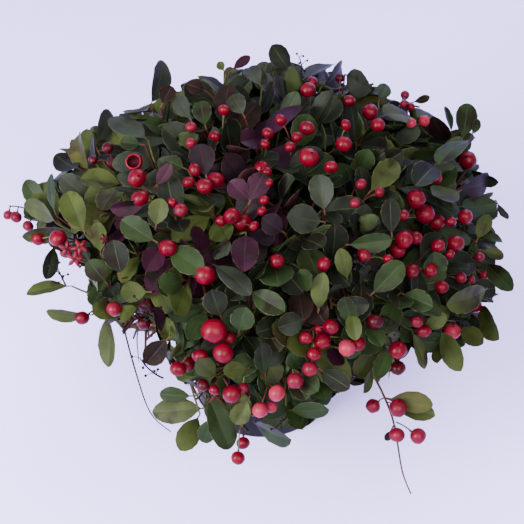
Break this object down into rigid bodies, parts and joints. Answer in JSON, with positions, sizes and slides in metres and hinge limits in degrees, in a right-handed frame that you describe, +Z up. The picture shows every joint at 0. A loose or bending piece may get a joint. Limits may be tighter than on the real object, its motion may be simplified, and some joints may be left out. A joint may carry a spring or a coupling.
{
  "type": "potted wintergreen shrub",
  "caption": "Low domed evergreen shrub with glossy oval leaves and round red berries, growing in a plain tapering nursery pot.",
  "frame": {"origin": "middle of the pot's flat underside", "axes": "+Z up along the pot's axis, -Y towards the front of the plant, +X to the right seen from the front"},
  "size_m": [0.3176, 0.3135, 0.2398],
  "materials": {
    "pot_plastic": "satin",
    "soil": "crumbly, matte",
    "bark": "rough bark",
    "foliage": "glossy leaves with red berries"
  },
  "bodies": {
    "root": {"pot": "pot_plastic", "soil": "soil", "stem": "bark", "bough_crown": "bark", "leaves_crown": "foliage", "bough_upper_030": "bark", "leaves_upper_030": "foliage", "bough_upper_090": "bark", "leaves_upper_090": "foliage", "bough_upper_150": "bark", "leaves_upper_150": "foliage", "bough_upper_210": "bark", "leaves_upper_210": "foliage", "bough_upper_270": "bark", "leaves_upper_270": "foliage", "bough_upper_330": "bark", "leaves_upper_330": "foliage", "bough_middle_000": "bark", "leaves_middle_000": "foliage", "bough_middle_045": "bark", "leaves_middle_045": "foliage", "bough_middle_090": "bark", "leaves_middle_090": "foliage", "bough_middle_135": "bark", "leaves_middle_135": "foliage", "bough_middle_180": "bark", "leaves_middle_180": "foliage", "bough_middle_225": "bark", "leaves_middle_225": "foliage", "bough_middle_270": "bark", "leaves_middle_270": "foliage", "bough_middle_315": "bark", "leaves_middle_315": "foliage", "bough_low_023": "bark", "leaves_low_023": "foliage", "bough_low_068": "bark", "leaves_low_068": "foliage", "bough_low_113": "bark", "leaves_low_113": "foliage", "bough_low_158": "bark", "leaves_low_158": "foliage", "bough_low_203": "bark", "leaves_low_203": "foliage", "bough_low_248": "bark", "leaves_low_248": "foliage", "bough_low_293": "bark", "leaves_low_293": "foliage", "bough_low_338": "bark", "leaves_low_338": "foliage"}
  },
  "joints": []
}
